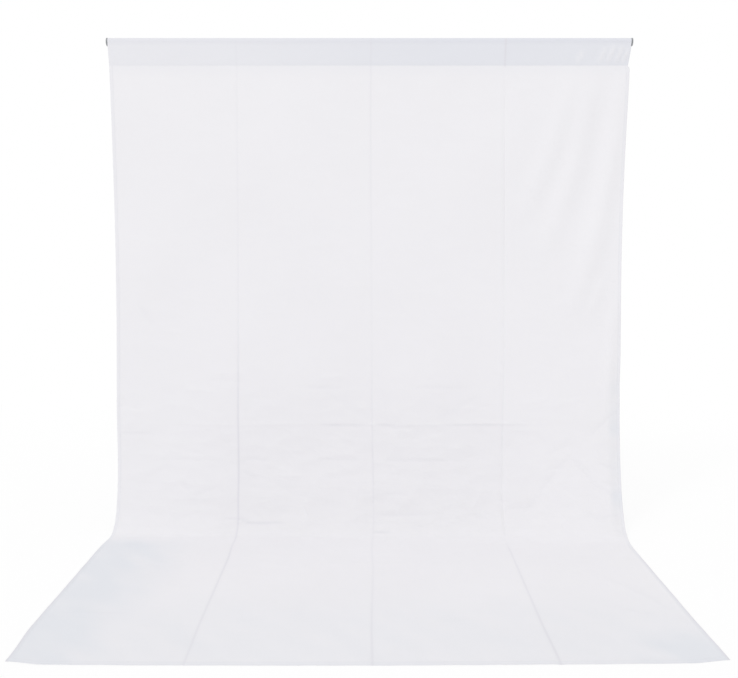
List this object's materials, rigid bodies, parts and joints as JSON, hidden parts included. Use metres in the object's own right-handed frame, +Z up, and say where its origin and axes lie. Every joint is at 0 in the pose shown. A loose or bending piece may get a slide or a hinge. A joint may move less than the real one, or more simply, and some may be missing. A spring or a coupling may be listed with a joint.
{
  "type": "background support system",
  "caption": "Free-standing photo background support: a white muslin sweep hung by its pocket from a plug-together crossbar on folding, telescopic tripod stands behind the cloth.",
  "frame": {"origin": "on the floor at the centre of the footprint: below the middle of the cloth's width, half way between the front hem and the rear feet", "axes": "+X to the viewer's right along the crossbar, +Y from the cloth's face to the stands behind it, +Z up"},
  "size_m": [2.01, 1.82, 1.955],
  "materials": {
    "muslin": "plain white cotton muslin with fold creases",
    "crossbar_tube": "black anodised",
    "stand_tube": "black anodised",
    "bright_steel": "turned",
    "black_steel": "black powder coat",
    "foot_rubber": "matte",
    "black_plastic": "moulded, fine grain"
  },
  "bodies": {
    "left_base": {"left_lower_tube": "stand_tube", "left_end_plug": "black_plastic", "left_lower_collar": "black_plastic", "left_strut_collar": "black_plastic"},
    "left_mid": {"left_mid_tube": "stand_tube", "left_upper_collar": "black_plastic"},
    "left_head": {"left_top_tube": "stand_tube", "left_spigot": "bright_steel", "left_bracket": "black_steel", "bar_1": "crossbar_tube", "backdrop": "muslin"},
    "crossbar_2": {"bar_2": "crossbar_tube"},
    "crossbar_3": {"bar_3": "crossbar_tube"},
    "right_head": {"bar_4": "crossbar_tube", "right_bracket": "black_steel", "right_spigot": "bright_steel", "right_top_tube": "stand_tube"},
    "right_mid": {"right_mid_tube": "stand_tube", "right_upper_collar": "black_plastic"},
    "right_base": {"right_lower_tube": "stand_tube", "right_end_plug": "black_plastic", "right_lower_collar": "black_plastic", "right_strut_collar": "black_plastic"},
    "left_leg_slider": {"left_leg_collar": "black_plastic", "left_leg_pins": "bright_steel"},
    "left_inner_leg": {"left_leg_inner": "stand_tube", "left_fittings_inner": "black_plastic", "left_foot_inner": "foot_rubber"},
    "left_inner_strut": {"left_strut_inner": "black_steel"},
    "left_rear_leg": {"left_leg_rear": "stand_tube", "left_fittings_rear": "black_plastic", "left_foot_rear": "foot_rubber"},
    "left_rear_strut": {"left_strut_rear": "black_steel"},
    "left_front_leg": {"left_leg_front": "stand_tube", "left_fittings_front": "black_plastic", "left_foot_front": "foot_rubber"},
    "left_front_strut": {"left_strut_front": "black_steel"},
    "left_lower_knob_body": {"left_lower_knob": "black_plastic"},
    "left_upper_knob_body": {"left_upper_knob": "black_plastic"},
    "left_leg_knob_body": {"left_leg_knob": "black_plastic"},
    "left_bracket_knob_body": {"left_bracket_knob": "black_plastic"},
    "right_leg_slider": {"right_leg_collar": "black_plastic", "right_leg_pins": "bright_steel"},
    "right_inner_leg": {"right_leg_inner": "stand_tube", "right_fittings_inner": "black_plastic", "right_foot_inner": "foot_rubber"},
    "right_inner_strut": {"right_strut_inner": "black_steel"},
    "right_rear_leg": {"right_leg_rear": "stand_tube", "right_fittings_rear": "black_plastic", "right_foot_rear": "foot_rubber"},
    "right_rear_strut": {"right_strut_rear": "black_steel"},
    "right_front_leg": {"right_leg_front": "stand_tube", "right_fittings_front": "black_plastic", "right_foot_front": "foot_rubber"},
    "right_front_strut": {"right_strut_front": "black_steel"},
    "right_lower_knob_body": {"right_lower_knob": "black_plastic"},
    "right_upper_knob_body": {"right_upper_knob": "black_plastic"},
    "right_leg_knob_body": {"right_leg_knob": "black_plastic"},
    "right_bracket_knob_body": {"right_bracket_knob": "black_plastic"}
  },
  "joints": [
    {"name": "height", "type": "slide", "parent": "left_base", "child": "left_head", "axis": [0, 0, 1], "range_m": [-1, 0.04], "deforming": ["backdrop"]},
    {"name": "left_mid_rise", "type": "slide", "parent": "left_base", "child": "left_mid", "axis": [0, 0, 1], "range_m": [-0.5, 0.02]},
    {"name": "bar_pull_2", "type": "slide", "parent": "left_head", "child": "crossbar_2", "axis": [1, 0, 0], "range_m": [0, 0.065]},
    {"name": "bar_pull_3", "type": "slide", "parent": "crossbar_2", "child": "crossbar_3", "axis": [1, 0, 0], "range_m": [0, 0.065]},
    {"name": "bar_pull_4", "type": "slide", "parent": "crossbar_3", "child": "right_head", "axis": [1, 0, 0], "range_m": [0, 0.065]},
    {"name": "right_mid_rise", "type": "slide", "parent": "right_head", "child": "right_mid", "axis": [0, 0, 1], "range_m": [-0.02, 0.5]},
    {"name": "right_base_rise", "type": "slide", "parent": "right_mid", "child": "right_base", "axis": [0, 0, 1], "range_m": [-0.02, 0.5]},
    {"name": "left_fold", "type": "slide", "parent": "left_base", "child": "left_leg_slider", "axis": [0, 0, 1], "range_m": [0, 0.0762]},
    {"name": "left_inner_leg_fold", "type": "hinge", "parent": "left_leg_slider", "child": "left_inner_leg", "pos_m": [-0.777, 0.63922, 0.34062], "axis": [0, 1, 0], "range_deg": [0, 35.51]},
    {"name": "left_inner_strut_fold", "type": "hinge", "parent": "left_inner_leg", "child": "left_inner_strut", "pos_m": [-0.6644, 0.63922, 0.19384], "axis": [0, -1, 0], "range_deg": [0, 71.02]},
    {"name": "left_rear_leg_fold", "type": "hinge", "parent": "left_leg_slider", "child": "left_rear_leg", "pos_m": [-0.813, 0.66001, 0.34062], "axis": [-0.866, -0.5, 0], "range_deg": [0, 35.51]},
    {"name": "left_rear_strut_fold", "type": "hinge", "parent": "left_rear_leg", "child": "left_rear_strut", "pos_m": [-0.8693, 0.75752, 0.19384], "axis": [0.866, 0.5, 0], "range_deg": [0, 71.02]},
    {"name": "left_front_leg_fold", "type": "hinge", "parent": "left_leg_slider", "child": "left_front_leg", "pos_m": [-0.813, 0.61844, 0.34062], "axis": [0.866, -0.5, 0], "range_deg": [0, 35.51]},
    {"name": "left_front_strut_fold", "type": "hinge", "parent": "left_front_leg", "child": "left_front_strut", "pos_m": [-0.8693, 0.52093, 0.19384], "axis": [-0.866, 0.5, 0], "range_deg": [0, 71.02]},
    {"name": "left_lower_knob_turn", "type": "hinge", "parent": "left_base", "child": "left_lower_knob_body", "pos_m": [-0.7885, 0.66087, 0.727], "axis": [0.5, 0.866, 0], "range_deg": [0, 360]},
    {"name": "left_upper_knob_turn", "type": "hinge", "parent": "left_mid", "child": "left_upper_knob_body", "pos_m": [-0.7885, 0.66087, 1.3055], "axis": [0.5, 0.866, 0], "range_deg": [0, 360]},
    {"name": "left_leg_knob_turn", "type": "hinge", "parent": "left_leg_slider", "child": "left_leg_knob_body", "pos_m": [-0.7885, 0.66087, 0.35462], "axis": [0.5, 0.866, 0], "range_deg": [0, 360]},
    {"name": "left_bracket_knob_turn", "type": "hinge", "parent": "left_head", "child": "left_bracket_knob_body", "pos_m": [-0.7885, 0.66087, 1.902], "axis": [0.5, 0.866, 0], "range_deg": [0, 360]},
    {"name": "right_fold", "type": "slide", "parent": "right_base", "child": "right_leg_slider", "axis": [0, 0, 1], "range_m": [0, 0.0762]},
    {"name": "right_inner_leg_fold", "type": "hinge", "parent": "right_leg_slider", "child": "right_inner_leg", "pos_m": [0.777, 0.63922, 0.34062], "axis": [0, -1, 0], "range_deg": [0, 35.51]},
    {"name": "right_inner_strut_fold", "type": "hinge", "parent": "right_inner_leg", "child": "right_inner_strut", "pos_m": [0.6644, 0.63922, 0.19384], "axis": [0, 1, 0], "range_deg": [0, 71.02]},
    {"name": "right_rear_leg_fold", "type": "hinge", "parent": "right_leg_slider", "child": "right_rear_leg", "pos_m": [0.813, 0.66001, 0.34062], "axis": [-0.866, 0.5, 0], "range_deg": [0, 35.51]},
    {"name": "right_rear_strut_fold", "type": "hinge", "parent": "right_rear_leg", "child": "right_rear_strut", "pos_m": [0.8693, 0.75752, 0.19384], "axis": [0.866, -0.5, 0], "range_deg": [0, 71.02]},
    {"name": "right_front_leg_fold", "type": "hinge", "parent": "right_leg_slider", "child": "right_front_leg", "pos_m": [0.813, 0.61844, 0.34062], "axis": [0.866, 0.5, 0], "range_deg": [0, 35.51]},
    {"name": "right_front_strut_fold", "type": "hinge", "parent": "right_front_leg", "child": "right_front_strut", "pos_m": [0.8693, 0.52093, 0.19384], "axis": [-0.866, -0.5, 0], "range_deg": [0, 71.02]},
    {"name": "right_lower_knob_turn", "type": "hinge", "parent": "right_base", "child": "right_lower_knob_body", "pos_m": [0.7885, 0.66087, 0.727], "axis": [-0.5, 0.866, 0], "range_deg": [0, 360]},
    {"name": "right_upper_knob_turn", "type": "hinge", "parent": "right_mid", "child": "right_upper_knob_body", "pos_m": [0.7885, 0.66087, 1.3055], "axis": [-0.5, 0.866, 0], "range_deg": [0, 360]},
    {"name": "right_leg_knob_turn", "type": "hinge", "parent": "right_leg_slider", "child": "right_leg_knob_body", "pos_m": [0.7885, 0.66087, 0.35462], "axis": [-0.5, 0.866, 0], "range_deg": [0, 360]},
    {"name": "right_bracket_knob_turn", "type": "hinge", "parent": "right_head", "child": "right_bracket_knob_body", "pos_m": [0.7885, 0.66087, 1.902], "axis": [-0.5, 0.866, 0], "range_deg": [0, 360]}
  ],
  "couplings": [
    {"joint": "left_mid_rise", "follows": "height", "ratio": 0.5},
    {"joint": "right_mid_rise", "follows": "height", "ratio": -0.5},
    {"joint": "right_base_rise", "follows": "height", "ratio": -0.5},
    {"joint": "left_inner_leg_fold", "follows": "left_fold", "rad_per_m": 8.1292},
    {"joint": "left_inner_strut_fold", "follows": "left_fold", "rad_per_m": 16.258},
    {"joint": "left_rear_leg_fold", "follows": "left_fold", "rad_per_m": 8.1292},
    {"joint": "left_rear_strut_fold", "follows": "left_fold", "rad_per_m": 16.258},
    {"joint": "left_front_leg_fold", "follows": "left_fold", "rad_per_m": 8.1292},
    {"joint": "left_front_strut_fold", "follows": "left_fold", "rad_per_m": 16.258},
    {"joint": "right_inner_leg_fold", "follows": "right_fold", "rad_per_m": 8.1292},
    {"joint": "right_inner_strut_fold", "follows": "right_fold", "rad_per_m": 16.258},
    {"joint": "right_rear_leg_fold", "follows": "right_fold", "rad_per_m": 8.1292},
    {"joint": "right_rear_strut_fold", "follows": "right_fold", "rad_per_m": 16.258},
    {"joint": "right_front_leg_fold", "follows": "right_fold", "rad_per_m": 8.1292},
    {"joint": "right_front_strut_fold", "follows": "right_fold", "rad_per_m": 16.258}
  ]
}
